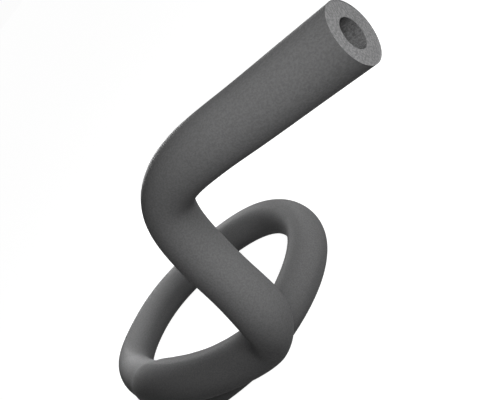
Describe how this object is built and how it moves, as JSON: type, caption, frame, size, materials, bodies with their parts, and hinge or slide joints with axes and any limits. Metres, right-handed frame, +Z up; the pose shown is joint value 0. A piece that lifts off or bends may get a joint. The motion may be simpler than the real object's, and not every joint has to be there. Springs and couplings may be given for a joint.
{
  "type": "pipe insulation lagging",
  "caption": "Closed-cell rubber foam tube that slips over a heating pipe to insulate it, lying in a loose loop that crosses over itself, with its free end raised.",
  "frame": {"origin": "middle of the footprint, on the floor", "axes": "+X the way the level free end points, +Z up, +Y to the side on which the loop lies"},
  "size_m": [0.3885, 0.1922, 0.2048],
  "materials": {
    "foam": "matt grey closed-cell rubber foam, with a fine mottled skin and open pores on the cut faces"
  },
  "bodies": {
    "root": {"foam_tube": "foam"}
  },
  "joints": []
}
